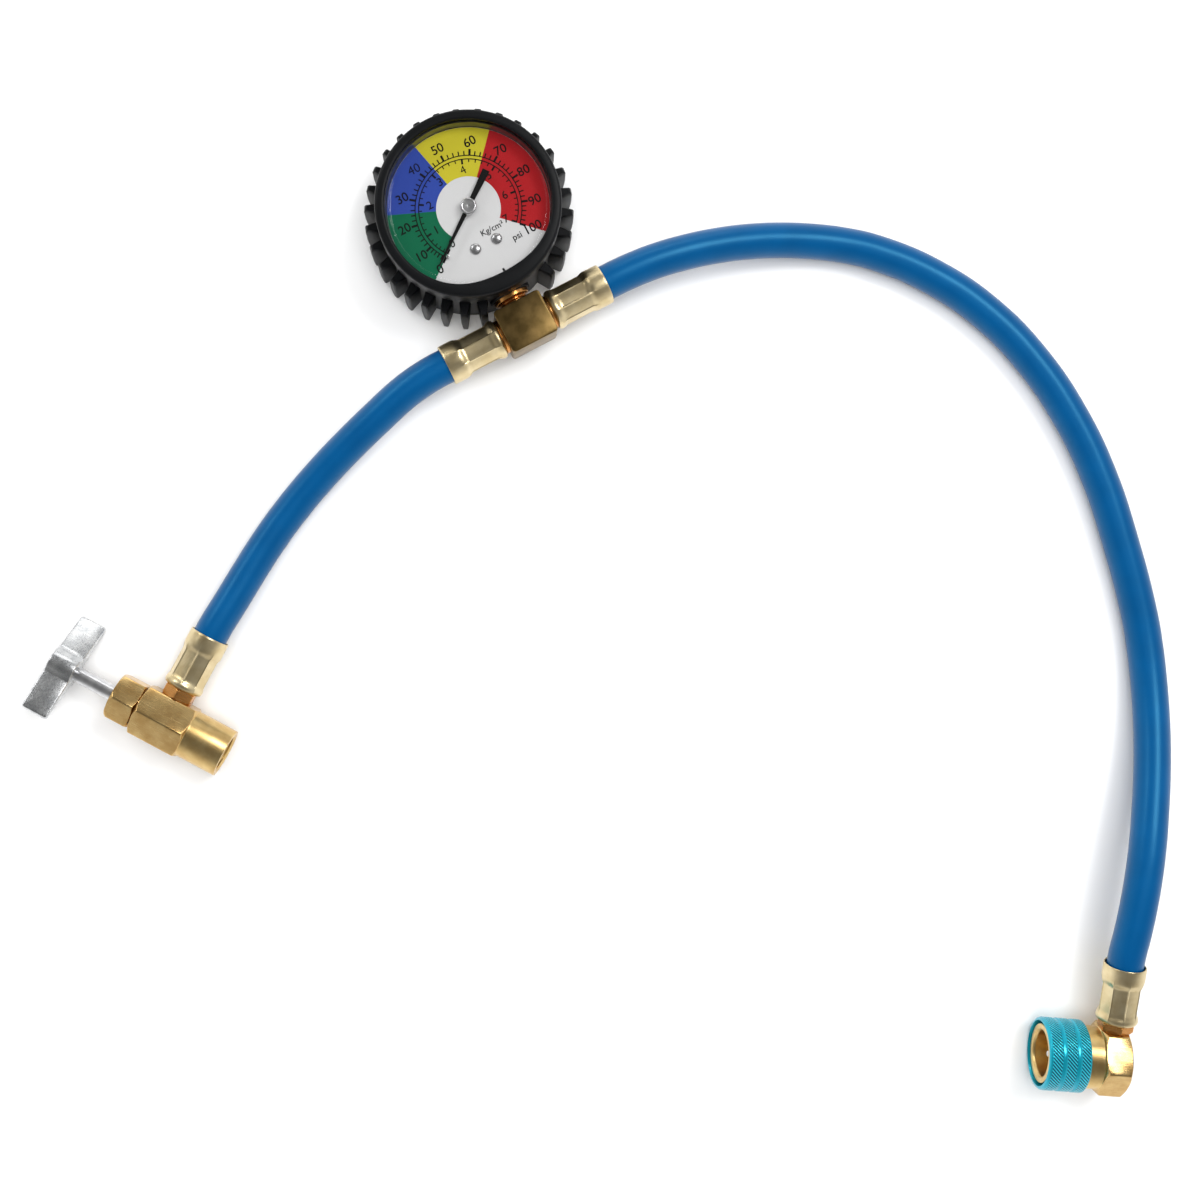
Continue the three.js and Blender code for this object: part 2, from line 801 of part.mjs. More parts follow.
const group = new THREE.Group();
group.add(gauge);
group.add(tap);
group.add(elbow);
group.add(piece("hose_short", hoseBlue, hose(hoseShortRoute)));
group.add(piece("hose_long", hoseBlue, hose(hoseLongRoute)));

export default group;
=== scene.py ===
# A refrigerant charging hose on a pale floor, seen from straight above.
import math

import bmesh
import bpy
from mathutils import Matrix, Vector


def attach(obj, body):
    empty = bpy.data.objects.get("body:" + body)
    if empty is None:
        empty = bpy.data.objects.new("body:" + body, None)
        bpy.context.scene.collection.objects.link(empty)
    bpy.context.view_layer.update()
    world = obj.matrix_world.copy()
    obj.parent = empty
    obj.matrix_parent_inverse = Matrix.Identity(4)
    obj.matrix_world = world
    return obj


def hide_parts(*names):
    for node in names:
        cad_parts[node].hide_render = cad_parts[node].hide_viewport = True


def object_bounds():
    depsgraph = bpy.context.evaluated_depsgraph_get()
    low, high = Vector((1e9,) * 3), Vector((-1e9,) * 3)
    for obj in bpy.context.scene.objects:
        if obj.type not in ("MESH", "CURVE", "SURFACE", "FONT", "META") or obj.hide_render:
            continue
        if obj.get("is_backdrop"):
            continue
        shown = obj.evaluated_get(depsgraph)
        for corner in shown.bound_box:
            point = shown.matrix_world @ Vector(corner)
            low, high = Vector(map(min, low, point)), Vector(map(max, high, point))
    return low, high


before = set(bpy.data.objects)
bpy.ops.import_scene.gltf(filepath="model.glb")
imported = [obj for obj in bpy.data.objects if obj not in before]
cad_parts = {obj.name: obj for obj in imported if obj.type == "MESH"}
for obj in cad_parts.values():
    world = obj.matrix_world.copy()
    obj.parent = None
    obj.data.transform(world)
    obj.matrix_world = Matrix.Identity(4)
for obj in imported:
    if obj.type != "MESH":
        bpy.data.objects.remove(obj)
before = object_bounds()
scene = bpy.context.scene
scene.view_settings.view_transform = "Standard"
mm = 0.001
fullTurn = 2 * math.pi


# The camera looks straight down, as the photo's does, with the same crop.
camera = bpy.data.objects.new("camera", bpy.data.cameras.new("camera"))
scene.collection.objects.link(camera)
scene.camera = camera
camera.location = (0.0105, -0.137, 0.560)
camera.data.lens = 48
camera.data.sensor_width = 36
camera.data.shift_x = 100 / 1200
camera.data.shift_y = 20 / 1200
camera.data.clip_start = 0.01


# Colours are written as sRGB hex and used as linear light.
def colour(text):
    values = [int(text[i : i + 2], 16) / 255 for i in (0, 2, 4)]
    return tuple(v / 12.92 if v < 0.04045 else ((v + 0.055) / 1.055) ** 2.4 for v in values) + (1,)


def addNode(tree, kind, inputs=None, **settings):
    node = tree.nodes.new("ShaderNode" + kind)
    for key, value in settings.items():
        setattr(node, key, value)
    for key, value in (inputs or {}).items():
        if isinstance(value, bpy.types.NodeSocket):
            tree.links.new(value, node.inputs[key])
        else:
            node.inputs[key].default_value = value
    return node


# A material with its shader node, to be given its colours and patterns.
def newMaterial(name, **inputs):
    material = bpy.data.materials.new(name)
    material.use_nodes = True
    tree = material.node_tree
    shader = tree.nodes["Principled BSDF"]
    for key, value in inputs.items():
        shader.inputs[key].default_value = value
    return material, tree, shader


# Stretched noise on the piece's unrolled surface, whose UV are real millimetres.
def streaks(tree, along, around):
    coordinates = addNode(tree, "TexCoord")
    scaled = addNode(
        tree, "Mapping", {"Vector": coordinates.outputs["UV"], "Scale": (along, around, 1)}
    )
    inputs = {"Vector": scaled.outputs["Vector"], "Scale": 1, "Detail": 3}
    return addNode(tree, "TexNoise", inputs).outputs["Fac"]


# Even noise in the object's own space, in waves per millimetre.
def cloud(tree, perMillimetre, detail=4):
    coordinates = addNode(tree, "TexCoord")
    return addNode(
        tree,
        "TexNoise",
        {"Vector": coordinates.outputs["Object"], "Scale": perMillimetre / mm, "Detail": detail},
    ).outputs["Fac"]


def ramp(tree, factor, stops):
    node = addNode(tree, "ValToRGB", {"Fac": factor})
    elements = node.color_ramp.elements
    while len(elements) < len(stops):
        elements.new(0.5)
    for element, (place, value) in zip(elements, stops):
        element.position = place
        element.color = colour(value) if isinstance(value, str) else (value, value, value, 1)
    return node.outputs["Color"]


def bump(tree, height, distance, strength=0.5):
    return addNode(
        tree, "Bump", {"Height": height, "Distance": distance * mm, "Strength": strength}
    ).outputs["Normal"]


# A machined metal: its colour drifts a little with handling, and its tool lines catch the light.
def machined(name, light, dark, rough, along, around, depth=0.006, spread=0.08):
    material, tree, shader = newMaterial(name, Metallic=1)
    lines = streaks(tree, along, around)
    tint = ramp(tree, cloud(tree, 0.22), [(0.35, dark), (0.68, light)])
    tree.links.new(tint, shader.inputs["Base Color"])
    polish = ramp(tree, lines, [(0.3, rough - spread), (0.7, rough + spread)])
    tree.links.new(polish, shader.inputs["Roughness"])
    tree.links.new(bump(tree, lines, depth), shader.inputs["Normal"])
    return material


# Drawn brass bar: lines run along the bar, so its flats look brushed.
brassDrawn = machined("brass, drawn bar", "dcbc80", "c5a065", 0.24, 0.1, 4, 0.003, 0.04)
# Turned brass: rings run round the axis, as a lathe leaves them.
brassTurned = machined("brass, turned", "e0c386", "cdab6e", 0.32, 4, 0.05, 0.002, 0.04)
# Crimped ferrule: paler brass with a satin surface.
brassCrimped = machined("brass, crimped", "e4d3aa", "d3bf92", 0.34, 0.2, 1.6, 0.001, 0.03)
# Nipple: redder brass, which shows copper-orange between the paler pieces.
brassRed = machined("red brass", "dd9f5c", "c58a4c", 0.28, 2, 0.05, 0.0008, 0.03)
# The tee's block is duller, with fine scratches.
brassDull = machined("brass, dull", "8a7145", "66532f", 0.36, 0.9, 2.2, 0.014)
# Bright nickel-plated steel of the spindle, pin and small screws.
steelBright = machined("steel, plated", "e2e2e2", "c4c4c6", 0.32, 1, 0.1, 0.001, 0.05)

# Die-cast zinc: grey, with a grainy skin from the die.
zincCast, tree, shader = newMaterial("zinc, die cast", Metallic=1)
grain = cloud(tree, 1.6, 6)
tint = ramp(tree, cloud(tree, 0.3), [(0.3, "b4b6b8"), (0.7, "dcdddd")])
tree.links.new(tint, shader.inputs["Base Color"])
tree.links.new(ramp(tree, grain, [(0.3, 0.24), (0.75, 0.34)]), shader.inputs["Roughness"])
tree.links.new(bump(tree, grain, 0.015, 0.3), shader.inputs["Normal"])

# Hose cover: smooth extruded blue plastic with a soft sheen, and a faint waviness along it.
hoseCover, tree, shader = newMaterial("hose cover, extruded PVC", Roughness=0.36)
shader.inputs["Specular IOR Level"].default_value = 0.6
shader.inputs["Specular Tint"].default_value = (0.2, 0.75, 1, 1)
tint = ramp(tree, cloud(tree, 0.08), [(0.3, "004478"), (0.7, "004a80")])
tree.links.new(tint, shader.inputs["Base Color"])
tree.links.new(bump(tree, cloud(tree, 0.9), 0.04, 0.2), shader.inputs["Normal"])

# Boot rubber: black, matt with a faint sheen on its edges, and a fine moulded grain.
bootRubber, tree, shader = newMaterial("rubber, moulded", Roughness=0.42)
shader.inputs["Specular IOR Level"].default_value = 0.16
tint = ramp(tree, cloud(tree, 0.1), [(0.3, "08090a"), (0.7, "0d0e10")])
tree.links.new(tint, shader.inputs["Base Color"])
tree.links.new(bump(tree, cloud(tree, 2.5), 0.03, 0.4), shader.inputs["Normal"])

# Seal ring: plain black rubber.
sealRubber, tree, shader = newMaterial("rubber, seal", Roughness=0.55)
shader.inputs["Base Color"].default_value = colour("0d0d0e")

# Anodised aluminium: a teal dye over bright metal, with a clear glint on its smooth parts.
anodised, tree, shader = newMaterial("aluminium, teal anodised", Metallic=0.6, Roughness=0.3)
shader.inputs["Coat Weight"].default_value = 0.25
shader.inputs["Coat Roughness"].default_value = 0.12
tint = ramp(tree, cloud(tree, 0.2), [(0.3, "0899b0"), (0.7, "0cabc2")])
tree.links.new(tint, shader.inputs["Base Color"])

# The sleeve's knurl: diagonal ridges, with painted shade in their valleys and a painted highlight
# on their crests. A whole number fits round it.
knurlTurns = 64
sleeveRadius = 12.2
knurled, tree, shader = newMaterial("aluminium, knurled, painted shade and highlight", Metallic=0.6, Roughness=0.3)
coordinates = addNode(tree, "TexCoord").outputs["UV"]
waves = addNode(
    tree,
    "VectorMath",
    {0: coordinates, 1: (fullTurn * -0.84, knurlTurns / sleeveRadius, 0)},
    operation="DOT_PRODUCT",
)
ridges = addNode(tree, "Math", {0: waves.outputs["Value"]}, operation="SINE").outputs[0]
# Painted light: the valleys get a dark teal as painted shade, and the crests a pale teal as painted
# highlight.
tint = ramp(tree, ridges, [(0, "035a70"), (0.7, "3adcf2")])
tree.links.new(tint, shader.inputs["Base Color"])
tree.links.new(bump(tree, ridges, 0.1, 1), shader.inputs["Normal"])


# Printed enamel: flat paint that hides the metal under it.
def enamel(name, paint, rough=0.5):
    material, tree, shader = newMaterial(name, Roughness=rough)
    shader.inputs["Base Color"].default_value = colour(paint)
    shader.inputs["Specular IOR Level"].default_value = 0.15
    return material


dialWhite = enamel("enamel, white", "cbcbcb")
dialGreen = enamel("enamel, green", "005f40")
dialBlue = enamel("enamel, blue", "2c449a")
dialYellow = enamel("enamel, yellow", "bdb32a")
dialRed = enamel("enamel, red", "a5141b")
printBlack = enamel("ink, black", "060607", 0.6)
pointerBlack = enamel("paint, matt black", "050505", 0.45)

# Case steel, seen only as a thin bright rim under the lens.
caseSteel = machined("steel, case", "8a8c8e", "6c6e70", 0.35, 2, 0.2)

# Clear plastic lens: nearly invisible face on, and a mirror at a shallow angle.
lensClear = bpy.data.materials.new("plastic, clear")
lensClear.use_nodes = True
tree = lensClear.node_tree
tree.nodes.clear()
mirror = addNode(tree, "BsdfAnisotropic", {"Roughness": 0.04})
through = addNode(tree, "BsdfTransparent", {"Color": (0.95, 0.95, 0.95, 1)})
grazing = addNode(tree, "Fresnel", {"IOR": 1.49})
# Only its outer side mirrors, so that the dial can be seen from low angles too.
inner = addNode(tree, "NewGeometry").outputs["Backfacing"]
outer = addNode(tree, "Math", {0: 1, 1: inner}, operation="SUBTRACT")
share = addNode(tree, "Math", {0: grazing.outputs[0], 1: outer.outputs[0]}, operation="MULTIPLY")
mixed = addNode(
    tree, "MixShader", {0: share.outputs[0], 1: through.outputs[0], 2: mirror.outputs[0]}
)
addNode(tree, "OutputMaterial", {"Surface": mixed.outputs[0]})
print("materials")


# Where each group lies, from its own millimetres to the shared frame.
def placed(place, *turns):
    matrix = Matrix.Scale(mm, 4) @ Matrix.Translation(place)
    for degrees, axis in turns:
        matrix = matrix @ Matrix.Rotation(math.radians(degrees), 4, axis)
    return matrix


gaugeFrame = placed((0, 0, 0), (27.5, "Z"))
tapFrame = placed((-104.7, -171.7, 10.1), (-28.2, "Z"))
elbowFrame = placed((219, -286.9, 12.8), (175.6, "Z"), (-12, "X"))
teeFrame = gaugeFrame @ Matrix.Translation((0, -41.5, 17))


# A mesh as a finished piece: its place is in the mesh, its normals point out, and its creases stay
# sharp.
def finished(name, bm, matrix, materials, body, nodes=(), crease=32):
    bmesh.ops.transform(bm, matrix=matrix, verts=bm.verts)
    bmesh.ops.remove_doubles(bm, verts=bm.verts, dist=2e-6)
    bmesh.ops.dissolve_degenerate(bm, edges=bm.edges, dist=1e-7)
    bmesh.ops.recalc_face_normals(bm, faces=bm.faces)
    for face in bm.faces:
        face.smooth = True
    for edge in bm.edges:
        edge.smooth = len(edge.link_faces) != 2 or edge.calc_face_angle() < math.radians(crease)
    mesh = bpy.data.meshes.new(name)
    bm.to_mesh(mesh)
    bm.free()
    piece = bpy.data.objects.new(name, mesh)
    scene.collection.objects.link(piece)
    for material in materials:
        mesh.materials.append(material)
    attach(piece, body)
    if nodes:
        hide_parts(*nodes)
    return piece


evenAngles = [fullTurn * i / 96 for i in range(96)]
# Angles for a hexagon: close together at its corners, from the middle of a flat.
hexOffsets = [-30, -29.4, -28.6, -27.4, -25, -20, -14, -7, 0, 7, 14, 20, 25, 27.4, 28.6, 29.4]
hexAngles = [math.radians(60 * i + offset) for i in range(6) for offset in hexOffsets]


# A surface spun about local X. The outline's points are (radius, place along X), or a function of
# the angle gives them. zones names the material of each stretch of the outline, and wrap is the
# radius that the UV are unrolled with.
def turned(outline, angles=evenAngles, zones=None, wrap=None):
    outlines = [outline(angle) if callable(outline) else outline for angle in angles]
    count = len(angles)
    bm = bmesh.new()
    unrolled = bm.loops.layers.uv.verify()
    # The spin makes a plain tube, a unit long for each point, and each vertex then takes its place.
    profile = [bm.verts.new((row, 1, 0)) for row in range(len(outlines[0]))]
    edges = [bm.edges.new(pair) for pair in zip(profile, profile[1:])]
    bmesh.ops.spin(
        bm, geom=profile + edges, cent=(0, 0, 0), axis=(1, 0, 0), angle=fullTurn, steps=count,
        use_merge=True,
    )
    cell = {}
    for vert in bm.verts:
        row = round(vert.co.x)
        column = round(math.atan2(vert.co.z, vert.co.y) / fullTurn * count) % count
        radius, x = outlines[column][row]
        cell[vert] = (row, column)
        vert.co = (x, radius * math.cos(angles[column]), radius * math.sin(angles[column]))
    for face in bm.faces:
        columns = [cell[vert][1] for vert in face.verts]
        isSeam = max(columns) - min(columns) > 1
        if zones:
            face.material_index = zones[min(cell[vert][0] for vert in face.verts)]
        for loop in face.loops:
            row, column = cell[loop.vert]
            radius, x = outlines[column][row]
            turn = angles[column] + (fullTurn if isSeam and column == 0 else 0)
            loop[unrolled].uv = (x + 0.3 * radius, turn * (wrap or max(radius, 3)))
    return bm


# An outline with its corners rounded, each by its own length of edge.
def rounded(points, radius=0.25, steps=3):
    result = [points[0]]
    for trio in zip(points, points[1:], points[2:]):
        last, corner, following = (Vector(point) for point in trio)
        start = corner.lerp(last, min(0.45, radius / max((last - corner).length, 1e-6)))
        end = corner.lerp(following, min(0.45, radius / max((following - corner).length, 1e-6)))
        for i in range(steps + 1):
            t = i / steps
            result.append(tuple((1 - t) ** 2 * start + 2 * t * (1 - t) * corner + t * t * end))
    return result + [points[-1]]


# The hexagon's radius at an angle, with slightly rounded corners.
def hexRadius(flat, angle, sharpness=70):
    total = sum(max(0, math.cos(angle - math.radians(60 * i))) ** sharpness for i in range(6))
    return flat * total ** (-1 / sharpness)


# One end of a hex bar, whose corners are turned off by a cone: from the middle out to the side. The
# cone starts a margin outside the flats, and the middles of the flats keep a fine edge.
def hexEnd(flat, angle, place, chamfer, inward):
    margin, fine = 0.15, 0.05
    side = hexRadius(flat, angle)
    face = min(flat + margin, side - fine)
    corner = flat / math.cos(math.pi / 6)
    run = chamfer * (side - face) / (corner - flat - margin)
    return [(face, place), (side, place + inward * max(run, fine))]


# The crimp's eight flats, with a fine ridge between each two: degrees from a ridge.
crimpOffsets = [0, 0.7, 1.3, 2, 3, 5, 9, 15, 22.5, 30, 36, 40, 42, 43, 43.7, 44.3]


# A ferrule along +X from its bead to the hose. Each row of its outline is a radius, a place, and
# how much of the crimp shows there: the flats fade out into the bead and the bell.
ferruleForm = {
    "ridgeHeight": 0.17,
    "ridgeDegrees": 1.6,
    "flatness": 0.6,
    "outline": [
        (3.9, 0.25, 0), (5.2, 0, 0), (6, 0.12, 0), (6.6, 0.5, 0.05), (6.88, 1.1, 0.1),
        (6.92, 1.8, 0.2), (6.75, 2.45, 0.4), (6.5, 3, 0.7), (6.34, 3.6, 1), (6.3, 4.4, 1),
        (6.3, 9, 1), (6.3, 12.9, 1), (6.33, 13.3, 1), (6.45, 13.75, 1), (6.7, 14.25, 0.9),
        (6.9, 14.75, 0.6), (7, 15.3, 0.3), (7.02, 16, 0.1), (7, 17, 0), (6.97, 19.9, 0),
        (6.93, 20.35, 0), (6.8, 20.56, 0), (6.62, 20.58, 0), (6.48, 20.4, 0), (6.42, 20, 0),
        (6.42, 18.5, 0), (5.9, 17.6, 0),
    ],
}


def ferrule(name, matrix, node, phase=0):
    angles = [math.radians(45 * i + offset) for i in range(8) for offset in crimpOffsets]

    def outlineAt(angle):
        offset = math.degrees(angle) % 45
        ridge = math.exp(-((min(offset, 45 - offset) / ferruleForm["ridgeDegrees"]) ** 2))
        ridge *= ferruleForm["ridgeHeight"]
        octagon = math.cos(math.pi / 8) / math.cos(math.radians(offset - 22.5))
        inset = ferruleForm["flatness"] * (1 - octagon)
        rows = ferruleForm["outline"]
        return [(r * (1 - share * inset) + share * ridge, x) for r, x, share in rows]

    bm = turned(outlineAt, angles)
    bmesh.ops.transform(bm, matrix=Matrix.Rotation(math.radians(phase), 4, "X"), verts=bm.verts)
    return finished(name, bm, matrix, [brassCrimped], "hose_set", [node], crease=50)


# A nipple: the collar that shows between the fitting and the ferrule, with its hidden tail.
nippleForm = {"bore": 1.6, "tail": 3.6, "tailEnd": 15, "collarEnd": 0.1, "rounding": 0.12}


def nipple(name, matrix, node, collarAcross, collarLength, isHex):
    start = -0.6 - collarLength
    flat = collarAcross / 2
    end, tail, tailEnd = nippleForm["collarEnd"], nippleForm["tail"], nippleForm["tailEnd"]

    def outlineAt(angle):
        if isHex:
            back = hexEnd(flat, angle, start, 0.6, 1)
            front = hexEnd(flat, angle, end, 0.6, -1)[::-1]
        else:
            back = [(flat - 0.3, start), (flat, start + 0.3)]
            front = [(flat, -0.2), (flat - 0.3, end)]
        bore = [(nippleForm["bore"], start), (nippleForm["bore"], tailEnd)]
        outline = [bore[0], *back, *front, (tail, end), (tail, tailEnd), bore[1]]
        return rounded(outline, nippleForm["rounding"], 2)

    bm = turned(outlineAt, hexAngles if isHex else evenAngles)
    return finished(name, bm, matrix, [brassRed], "hose_set", [node])


# Hoses: the same routes as in the CAD, from inside one ferrule to inside the next.
def hose(name, node, exit, length, route):
    data = bpy.data.curves.new(name, "CURVE")
    data.dimensions = "3D"
    data.bevel_depth = 0.006
    data.bevel_resolution = 8
    data.resolution_u = 8
    data.use_fill_caps = True
    spline = data.splines.new("BEZIER")
    spline.bezier_points.add(len(route) - 1)
    for point, place in zip(spline.bezier_points, route):
        point.co = place
        point.handle_left_type = point.handle_right_type = "AUTO"
    data.materials.append(hoseCover)
    piece = bpy.data.objects.new(name, data)
    scene.collection.objects.link(piece)
    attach(piece, "hose_set")
    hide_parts(node)
    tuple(exit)


hoses = {
    "shortHose": {
        "node": "hose_short",
        "exit": (-0.0077, -0.0508, 0.017),
        "length": 0.129,
        "route": [
            (-0.0054, -0.0496, 0.017), (-0.0081, -0.051, 0.017), (-0.011, -0.0525, 0.017),
            (-0.0156, -0.0552, 0.0167), (-0.0214, -0.0592, 0.0159), (-0.0319, -0.0683, 0.0136),
            (-0.0422, -0.0778, 0.0108), (-0.0519, -0.0876, 0.0081), (-0.0609, -0.098, 0.0066),
            (-0.069, -0.109, 0.0065), (-0.076, -0.1202, 0.0075), (-0.0822, -0.1308, 0.009),
            (-0.0874, -0.1395, 0.0101), (-0.0888, -0.1421, 0.0101), (-0.0902, -0.1447, 0.0101),
        ],
    },
    "longHose": {
        "node": "hose_long",
        "exit": (0.0459, -0.0229, 0.017),
        "length": 0.387,
        "route": [
            (0.0438, -0.024, 0.017), (0.0464, -0.0226, 0.017), (0.0493, -0.0211, 0.017),
            (0.0539, -0.0189, 0.0168), (0.0628, -0.0152, 0.0162), (0.0734, -0.0118, 0.0149),
            (0.0843, -0.0091, 0.013), (0.0955, -0.0072, 0.0109), (0.1069, -0.0062, 0.0088),
            (0.1182, -0.0062, 0.0071), (0.1294, -0.0073, 0.0062), (0.1403, -0.0098, 0.0061),
            (0.1607, -0.0184, 0.0061), (0.1792, -0.031, 0.0061), (0.1949, -0.0472, 0.0061),
            (0.208, -0.0666, 0.0061), (0.2179, -0.0874, 0.0061), (0.2252, -0.1096, 0.0061),
            (0.2318, -0.1352, 0.00615), (0.2336, -0.147, 0.0066), (0.2344, -0.1586, 0.0078),
            (0.2344, -0.1696, 0.0098), (0.2337, -0.1804, 0.0124), (0.2324, -0.1911, 0.0153),
            (0.2307, -0.2016, 0.0182), (0.2289, -0.2121, 0.0207), (0.227, -0.2226, 0.0222),
            (0.225, -0.2332, 0.0226), (0.2232, -0.2428, 0.0219), (0.22185, -0.2502, 0.02065),
            (0.2216, -0.25315, 0.02), (0.22135, -0.2561, 0.0194),
        ],
    },
}
for name, values in hoses.items():
    hose(name, **values)
print("hoses")


# Hose ends, each from its fitting's face outwards: how far that is from the fitting's middle, which
# way the hose leaves, and the collar of its nipple.
hoseEnds = {
    "teeLeft": {
        "fitting": teeFrame, "ferruleNode": "tee_ferrule_left", "nippleNode": "tee_nipple_left",
        "out": 9.65, "turn": 180, "across": 11.8, "collar": 0.85, "isHex": False, "phase": 15,
    },
    "teeRight": {
        "fitting": teeFrame, "ferruleNode": "tee_ferrule_right", "nippleNode": "tee_nipple_right",
        "out": 9.65, "turn": 0, "across": 11.8, "collar": 0.85, "isHex": False, "phase": 15,
    },
    "tap": {
        "fitting": tapFrame, "ferruleNode": "tap_ferrule", "nippleNode": "tap_nipple",
        "out": 12.55, "turn": 90, "across": 10.3, "collar": 3.2, "isHex": True, "phase": 0,
    },
    "elbow": {
        "fitting": elbowFrame, "ferruleNode": "elbow_ferrule", "nippleNode": "elbow_nipple",
        "out": 14, "turn": -90, "across": 10.3, "collar": 2.4, "isHex": True, "phase": 0,
    },
}
for name, end in hoseEnds.items():
    away = end["fitting"] @ Matrix.Rotation(math.radians(end["turn"]), 4, "Z")
    away = away @ Matrix.Translation((end["out"], 0, 0))
    ferrule(name + "Ferrule", away, end["ferruleNode"], end["phase"])
    nipple(name + "Nipple", away, end["nippleNode"], end["across"], end["collar"], end["isHex"])
print("hose ends")


# Can tap: place 0 on its axis is the side port's axis.
tap = {
    "flat": 8.75,  # from the axis to a flat of the hexagon
    "back": -9.5,
    "front": 9.1,
    "chamfer": 0.8,
    "hole": 2.9,
    "noseRadius": 8.5,
    "noseEnd": 23.8,
    "boreRadius": 6.3,
    "threadDepth": 0.45,
    "threadStep": 0.7,
    "threadSteps": 15,
}


def tapBodyOutline(angle):
    back = hexEnd(tap["flat"], angle, tap["back"], tap["chamfer"], 1)
    front = hexEnd(tap["flat"], angle, tap["front"], tap["chamfer"], -1)[::-1]
    nose, end, bore = tap["noseRadius"], tap["noseEnd"], tap["boreRadius"]
    outside = [(nose, tap["front"] + 0.2), (nose, end), (bore + 0.6, end), (bore, end - 0.6)]
    thread = [
        (bore - tap["threadDepth"] * (i % 2), end - 1.2 - tap["threadStep"] * i)
        for i in range(tap["threadSteps"])
    ]
    outline = rounded([(tap["hole"], tap["back"]), *back, *front, *outside], 0.3, 2)
    return [*outline, *thread, (bore, 11), (tap["hole"], 11)]


# The first stretches of the outline are the drawn hexagon, the rest is turned.
drawnStretches = 13
stretches = len(tapBodyOutline(0)) - 1
tapZones = [0 if j < drawnStretches else 1 for j in range(stretches)]
bm = turned(tapBodyOutline, hexAngles, tapZones)
finished("tapBody", bm, tapFrame, [brassDrawn, brassTurned], "hose_set", ["tap_body"])

gland = {
    "flat": 7.75,
    "back": -19.3,
    "front": -10.2,
    "hole": 2.85,
    "shank": 6.2,
    "shankEnd": -9.4,
}


def glandOutline(angle):
    back = hexEnd(gland["flat"], angle, gland["back"], 1.3, 1)
    front = hexEnd(gland["flat"], angle, gland["front"], 0.5, -1)[::-1]
    hole = [(gland["hole"], gland["back"] + 0.4), (gland["hole"] + 0.35, gland["back"])]
    shank = [(gland["shank"], gland["front"]), (gland["shank"], gland["shankEnd"])]
    return rounded([*hole, *back, *front, *shank, (gland["hole"], gland["shankEnd"])], 0.2, 2)


bm = turned(glandOutline, hexAngles)
finished("glandNut", bm, tapFrame, [brassDrawn], "hose_set", ["tap_gland_nut"])

gasket = {"inner": 3.6, "outer": 6.05, "back": 11.1, "front": 13.1}
corners = [("inner", "back"), ("outer", "back"), ("outer", "front"), ("inner", "front")]
ring = [(gasket[radius], gasket[place]) for radius, place in corners]
bm = turned(rounded([*ring, ring[0]], 0.3))
finished("tapGasket", bm, tapFrame, [sealRubber], "hose_set", ["tap_gasket"])

spindle = {"radius": 2.75, "back": -43.9, "shoulder": 5.5, "tip": 9}
rod = [(spindle["radius"], spindle["back"] + 0.4), (spindle["radius"], spindle["shoulder"])]
rod = [(0, spindle["back"]), (spindle["radius"] - 0.4, spindle["back"]), *rod]
bm = turned(rounded([*rod, (0.3, spindle["tip"]), (0, spindle["tip"])], 0.2, 2), evenAngles[::2])
finished("spindle", bm, tapFrame, [steelBright], "spindle", ["tap_spindle"])
print("tap")


# Every edge of a form that turns by more than an angle, rounded over. upright picks edges along Z.
def soften(bm, width, sharp=25, segments=3, upright=False):
    edges = []
    for edge in bm.edges:
        run = (edge.verts[0].co - edge.verts[1].co).normalized()
        if edge.is_manifold and edge.calc_face_angle() > math.radians(sharp):
            if not upright or abs(run.z) > 0.9:
                edges.append(edge)
    bmesh.ops.bevel(
        bm, geom=edges, offset=width, segments=segments, profile=0.5, affect="EDGES", material=-1
    )


# A flat outline in the YZ plane, extruded along X.
def pushed(outline, start, end):
    bm = bmesh.new()
    face = bm.faces.new([bm.verts.new((start, y, z)) for y, z in outline])
    grown = bmesh.ops.extrude_face_region(bm, geom=[face])["geom"]
    verts = [item for item in grown if isinstance(item, bmesh.types.BMVert)]
    bmesh.ops.translate(bm, vec=(end - start, 0, 0), verts=verts)
    bmesh.ops.recalc_face_normals(bm, faces=bm.faces)
    return bm


# The dial's stop pin: the CAD's own shape, with its flat faces whole again and its edges rounded.
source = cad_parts["dial_stop_pin"]
bm = bmesh.new()
bm.from_mesh(source.data)
bmesh.ops.transform(bm, matrix=source.matrix_world, verts=bm.verts)
bmesh.ops.remove_doubles(bm, verts=bm.verts, dist=2e-6)
bmesh.ops.dissolve_limit(bm, angle_limit=math.radians(2), verts=bm.verts, edges=bm.edges)
soften(bm, 0.05 * mm, 25, 2)
finished(
    "dialStopPin", bm, Matrix(), [steelBright], "hose_set", ["dial_stop_pin"], crease=40
)

# Handle: two wings that thin out towards their tips, as a casting's draft makes them, and a round
# hub.
handle = {
    "reach": 19.2,
    "tipHalf": 1.1,
    "rootHalf": 2.95,
    "hubRadius": 5.7,
    "back": -43.9,
    "front": -34.4,
    "roll": -26,
}
hub = handle["hubRadius"]
hubArc = [(hub * math.cos(a), hub * math.sin(a)) for a in (0.6, 0.8, 1, 1.25, math.pi / 2)]
wing = [(handle["reach"], handle["tipHalf"]), (6, handle["rootHalf"]), (5.3, 3)]
quarter = [*wing, *hubArc]
half = quarter + [(-y, z) for y, z in quarter[-2::-1]]
bm = pushed(half + [(y, -z) for y, z in half[::-1]], handle["back"], handle["front"])
soften(bm, 1, 60, 3, upright=True)
soften(bm, 0.45, 40)
roll = tapFrame @ Matrix.Rotation(math.radians(handle["roll"]), 4, "X")
finished("tapHandle", bm, roll, [zincCast], "handle", ["tap_handle"], crease=40)

